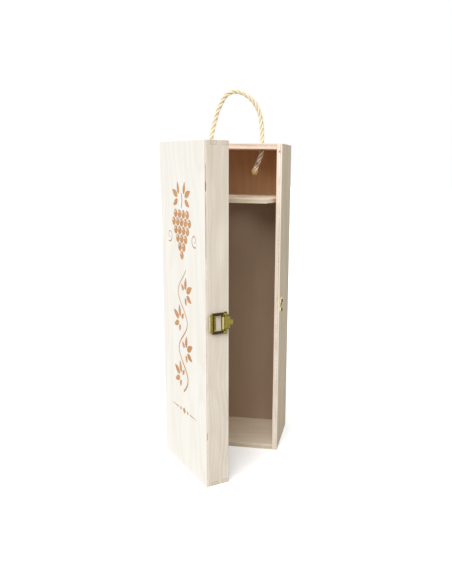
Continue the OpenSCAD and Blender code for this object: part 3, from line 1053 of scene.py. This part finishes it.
def grape(bm, x, z, radius):
    """A round berry with a small highlight left bare."""
    rims = []
    highlight = radius * 0.24, radius * 0.38
    for size, shift in ((radius, 0), highlight):
        made = bmesh.ops.create_circle(bm, cap_ends=False, segments=28, radius=size)["verts"]
        bmesh.ops.rotate(bm, verts=made, matrix=Matrix.Rotation(radians(90), 3, "X"))
        bmesh.ops.translate(bm, verts=made, vec=(x - shift, 0, z + shift))
        rims += dict.fromkeys(edge for vert in made for edge in vert.link_edges)
    bmesh.ops.bridge_loops(bm, edges=rims)


def diamond(bm, x, z, size):
    half = size / 2
    outline(bm, [(x - half, z), (x, z - half), (x + half, z), (x, z + half)])


def vine(bm):
    """Draws a climbing vine, a bunch of grapes and a small rule, in metres from the panel's foot."""
    foot, crown, swing, wave = 0.088, 0.222, 0.011, 0.062

    def stem(t):
        z = foot + (crown - foot) * t
        return Vector((swing * sin(tau * (z - foot) / wave), z))

    ribbon(bm, stem, lambda t: (2.4 - 1.2 * t) * MM, steps=90)
    for i in range(4):
        side = 1 if i % 2 else -1
        leaf(bm, (side * 6 * MM, foot + wave * (0.25 + 0.5 * i)), side * radians(62), 20 * MM)

    top, radius, column, row = 0.278, 4.4 * MM, 9.6 * MM, 8.4 * MM
    for line, count in enumerate((4, 5, 4, 3, 2, 1)):
        for k in range(count):
            grape(bm, (k - (count - 1) / 2) * column, top - line * row, radius)
    stalk, thick = top + 6 * MM, 1.9 * MM
    ribbon(bm, lambda t: Vector((2 * MM * sin(3 * t), stalk + 15 * MM * t)), lambda t: thick, steps=12)
    for side in (-1, 1):
        leaf(bm, (side * 5 * MM, top + 16 * MM), side * radians(66), 19 * MM, lobes=3)

        def tendril(t):
            turn = radians(60 + 400 * t)
            reach = (7 - 5.2 * t) * MM
            out = 30.5 * MM + reach * cos(turn)
            return Vector((side * out, top - 24 * MM - reach * sin(turn)))

        ribbon(bm, tendril, lambda t: (1.5 - 0.8 * t) * MM, steps=40)

    base = 0.066
    diamond(bm, 0, base, 8 * MM)
    for side in (-1, 1):
        diamond(bm, side * 9 * MM, base, 4.5 * MM)
        ribbon(
            bm,
            lambda t: Vector((side * (14 + 18 * t) * MM, base)),
            lambda t: (1.5 - 1.1 * t) * MM,
            steps=6,
        )


class GIFTBOX_OT_front_panel(bpy.types.Operator):
    """Builds the lid's front panel and burns a vine into it"""

    bl_idname = "giftbox.front_panel"
    bl_label = "Front Panel"

    def execute(self, context):
        node = "lid_front_panel"
        low, high = shut_limits(frame["nodes"][node], node)
        above = 1 * MM

        cutter = bmesh.new()
        vine(cutter)
        bmesh.ops.recalc_face_normals(cutter, faces=cutter.faces)
        solid = bmesh.ops.extrude_face_region(cutter, geom=list(cutter.faces))["geom"]
        depth = context.scene.box_ornament.depth
        moved = [part for part in solid if isinstance(part, bmesh.types.BMVert)]
        bmesh.ops.translate(cutter, verts=moved, vec=(0, above + depth, 0))
        spot = Vector(((low.x + high.x) / 2, low.y - above, low.z))
        bmesh.ops.translate(cutter, verts=cutter.verts, vec=spot)
        bmesh.ops.transform(cutter, matrix=place_of(node).inverted(), verts=cutter.verts)
        bmesh.ops.recalc_face_normals(cutter, faces=cutter.faces)
        stamp = added("stamp", cutter, burned_wood())

        bm = merged(node)
        soften(bm, context.scene.box_wood.edge)
        veneer = plywood("panel_plywood", "panel", fineness=60, arches=0.6, depth=0.38, gaps=PANEL_GAPS)
        made = added("lid_front_panel_board", bm, veneer)
        cut = made.modifiers.new("stamp", "BOOLEAN")
        cut.object = stamp
        cut.operation = "DIFFERENCE"
        cut.solver = "EXACT"
        cut.material_mode = "TRANSFER"
        baked = bpy.data.meshes.new_from_object(made.evaluated_get(context.evaluated_depsgraph_get()))
        made.modifiers.clear()
        made.data = baked
        bpy.data.objects.remove(stamp)
        lay_grain(made, node)
        finished(made, node)
        return {"FINISHED"}


# ---- Hardware ----


# Each plating's roughness, the share of its brightness that its mottling keeps, and its tarnish
PLATINGS = {
    "bright": (0.3, 0.85, 0.45),
    "olive": (0.32, 0.6, 0.6),
    "dark": (0.36, 0.5, 0.5),
    # Painted shadow: the near-black for the catch's shade.
    "deep": (0.7, 0.8, 0.3),
}


def plated(tone):
    """One of the platings, made once."""
    name = f"plated_{tone}_brass"
    made = bpy.data.materials.get(name)
    if made is None:
        roughness, mottling, tarnished = PLATINGS[tone]
        paint = getattr(bpy.context.scene.box_metal, tone)
        made = brass(name, paint, roughness, [channel * mottling for channel in paint], tarnished)
    return made


def pressed(name, tone, node):
    """Pressed metal with softened edges."""
    bm = merged(node)
    soften(bm, bpy.context.scene.box_metal.edge)
    return finished(added(name, bm, plated(tone)), node)


def repaint(made, node, finish, cuts, chosen):
    """Paints the faces for which chosen(middle, normal) holds with the lid shut. cuts are the
    planes that part faces first, each (axis, place)."""
    shut = place_of(node)
    bm = bmesh.new()
    bm.from_mesh(made.data)
    bmesh.ops.transform(bm, matrix=shut, verts=bm.verts)
    for axis, place in cuts:
        square = Vector([i == axis for i in range(3)])
        geometry = [*bm.verts, *bm.edges, *bm.faces]
        bmesh.ops.bisect_plane(bm, geom=geometry, plane_co=square * place, plane_no=square)
    bm.normal_update()
    for face in bm.faces:
        if chosen(face.calc_center_median(), face.normal):
            face.material_index = len(made.data.materials)
    bmesh.ops.transform(bm, matrix=shut.inverted(), verts=bm.verts)
    bm.to_mesh(made.data)
    bm.free()
    made.data.materials.append(finish)


def islands(bm):
    """The separate solids of a mesh, each as a list of vertices, in the same order in each run."""
    left = dict.fromkeys(bm.verts)
    while left:
        found, waiting = [], [left.popitem()[0]]
        while waiting:
            vert = waiting.pop()
            found.append(vert)
            for edge in vert.link_edges:
                other = edge.other_vert(vert)
                if other in left:
                    del left[other]
                    waiting.append(other)
        yield found


def domed_nails(name, tone, node):
    """Round-headed nails in place of a node's plain ones; their heads point away from the middle."""
    shut = place_of(node)
    source = merged(node)
    bm = bmesh.new()
    for solid in islands(source):
        low, high = limits([shut @ vert.co for vert in solid])
        middle = (low + high) / 2
        out = copysign(1, middle.x)
        radius = (high.y - low.y) / 2
        long = high.x - low.x
        head, rim, shank, point = 0.5 * MM, 0.06 * MM, radius * 0.46, 1.2 * MM
        dome = [(0, 1), (0.4, 0.94), (0.75, 0.68), (0.95, 0.3)]
        profile = [
            *((radius * r, head * z) for r, z in dome),
            (radius, rim), (radius * 0.96, 0), (shank, 0), (shank, head + point - long), (0, head - long),
        ]
        before = set(bm.verts)
        verts = [bm.verts.new((r, 0, z)) for r, z in profile]
        edges = [bm.edges.new(pair) for pair in zip(verts, verts[1:])]
        bmesh.ops.spin(
            bm, geom=verts + edges, cent=(0, 0, 0), axis=(0, 0, 1), dvec=(0, 0, 0),
            angle=tau, steps=20, use_merge=True, use_duplicate=False,
        )
        nail = [vert for vert in bm.verts if vert not in before]
        stand = Matrix.Rotation(radians(90 * out), 4, "Y")
        outer = Vector((high.x if out > 0 else low.x, middle.y, middle.z))
        spot = Matrix.Translation(outer - Vector((out * head, 0, 0)))
        bmesh.ops.transform(bm, matrix=shut.inverted() @ spot @ stand, verts=nail)
    source.free()
    bmesh.ops.remove_doubles(bm, verts=bm.verts, dist=WELD)
    bmesh.ops.recalc_face_normals(bm, faces=bm.faces)
    return finished(added(name, bm, plated(tone)), node)


class GIFTBOX_OT_hinges(bpy.types.Operator):
    """Builds the two butt hinges with their pins and nails"""

    bl_idname = "giftbox.hinges"
    bl_label = "Hinges"

    def execute(self, context):
        for hinge in ("upper_hinge", "lower_hinge"):
            for part in ("carcass_leaf", "lid_leaf", "pin"):
                node = f"{hinge}_{part}"
                pressed(node + "_brass", "bright", node)
        for node in ("hinge_carcass_nails", "hinge_lid_nails"):
            domed_nails(node + "_domed", "bright", node)
        return {"FINISHED"}


class GIFTBOX_OT_latch(bpy.types.Operator):
    """Builds the draw latch on the lid's free side"""

    bl_idname = "giftbox.latch"
    bl_label = "Latch"

    def execute(self, context):
        pressed("latch_base_plate", "olive", "latch_base")
        self.paint_lever_tones_and_light(pressed("latch_lever_frame", "dark", "latch_lever"))
        pressed("latch_lever_rivets", "dark", "latch_rivets")
        hook = pressed("latch_hook_plate", "olive", "latch_hook")
        # Painted highlight: a thin strip along the hook's barrel is painted in the bright brass.
        barrel_highlight = shut_limits(hook, "latch_hook")[0].y + 0.9 * MM
        repaint(hook, "latch_hook", plated("bright"), [(1, barrel_highlight)], lambda spot, normal: spot.y < barrel_highlight)
        pressed("latch_hook_axle", "olive", "latch_hook_pin")
        domed_nails("latch_nails_domed", "olive", "latch_nails")
        return {"FINISHED"}

    def paint_lever_tones_and_light(self, lever):
        """Paints the finger lip, the arms' ends and the flange inside the frame in the lighter olive
        brass; the upward top of the lower arm gets it too as painted light, and a strip on the lip's rim
        is a painted highlight in bright brass."""
        low, high = shut_limits(lever, "latch_lever")
        lip, bar, frame_end = low.y + 3.6 * MM, low.y + 5 * MM, low.y + 8.2 * MM
        arm, rim, ends = 2.5 * MM, low.y + 0.6 * MM, high.y - 4.5 * MM
        # Painted light: the upward faces at the lower arm's top are painted in the lighter brass.
        sills = low.z + arm, high.z - arm
        repaint(
            lever,
            "latch_lever",
            plated("olive"),
            [(1, lip), (1, bar), (1, ends), (2, sills[0]), (2, sills[1])],
            lambda spot, normal: not lip < spot.y < ends
            or (sills[0] < spot.z < sills[1] and bar < spot.y < frame_end)
            or (normal.z > 0.7 and spot.z < sills[0] + 0.2 * MM),
        )
        # Painted highlight: a bright strip along the lip's rim.
        repaint(lever, "latch_lever", plated("bright"), [(1, rim)], lambda spot, normal: spot.y < rim)


class GIFTBOX_OT_catch(bpy.types.Operator):
    """Builds the catch plate on the right wall"""

    bl_idname = "giftbox.catch"
    bl_label = "Catch"

    def execute(self, context):
        plate = pressed("catch_plate_brass", "bright", "catch_plate")
        low, high = shut_limits(plate, "catch_plate")
        front, back, tip, lip = low.y + 1.4 * MM, high.y - 2 * MM, high.x - 1.3 * MM, low.x + 1 * MM
        middle, shadow_half = (low.z + high.z) / 2, 2.4 * MM
        # Painted shadow: the middle between the ears, the plate behind them and the ears' outer ends are
        # painted near-black for the shade there.
        repaint(
            plate,
            "catch_plate",
            plated("deep"),
            [(1, front), (1, back), (0, tip), (0, lip), (2, middle - shadow_half), (2, middle + shadow_half)],
            lambda spot, normal: spot.x > tip
            or (abs(spot.z - middle) < shadow_half and (spot.x > lip or front < spot.y < back)),
        )
        domed_nails("catch_nails_domed", "bright", "catch_nails")
        return {"FINISHED"}


# ---- Add-on ----


class GIFTBOX_PT_panel(bpy.types.Panel):
    """Lists the box's pieces and their settings"""

    bl_idname = "GIFTBOX_PT_panel"
    bl_label = "Gift Box"
    bl_space_type = "VIEW_3D"
    bl_region_type = "UI"
    bl_category = "Gift Box"

    def draw(self, context):
        for group, _, operators in SECTIONS:
            box = self.layout.box()
            settings = getattr(context.scene, group)
            for name in settings.__annotations__:
                box.prop(settings, name)
            for operator in operators:
                box.operator(operator.bl_idname)


SECTIONS = [
    ("box_stage", StageSettings, [GIFTBOX_OT_stage]),
    ("box_rope", RopeSettings, [GIFTBOX_OT_rope]),
    ("box_wood", WoodSettings, [GIFTBOX_OT_carcass, GIFTBOX_OT_lid]),
    ("box_ornament", OrnamentSettings, [GIFTBOX_OT_front_panel]),
    ("box_metal", MetalSettings, [GIFTBOX_OT_hinges, GIFTBOX_OT_latch, GIFTBOX_OT_catch]),
]
OPERATORS = [operator for _, _, operators in SECTIONS for operator in operators]
CLASSES = [*(settings for _, settings, _ in SECTIONS), *OPERATORS, GIFTBOX_PT_panel]


def register():
    for cls in CLASSES:
        bpy.utils.register_class(cls)
    for group, settings, _ in SECTIONS:
        setattr(bpy.types.Scene, group, bpy.props.PointerProperty(type=settings))


def unregister():
    for group, _, _ in SECTIONS:
        delattr(bpy.types.Scene, group)
    for cls in reversed(CLASSES):
        bpy.utils.unregister_class(cls)


def main():
    register()
    for operator in OPERATORS:
        group, name = operator.bl_idname.split(".")
        getattr(getattr(bpy.ops, group), name)()
    sizes = {"cad": CAD_BOX, "visual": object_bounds()}
    {name: [list(corner) for corner in box] for name, box in sizes.items()}


if __name__ == "__main__":
    main()
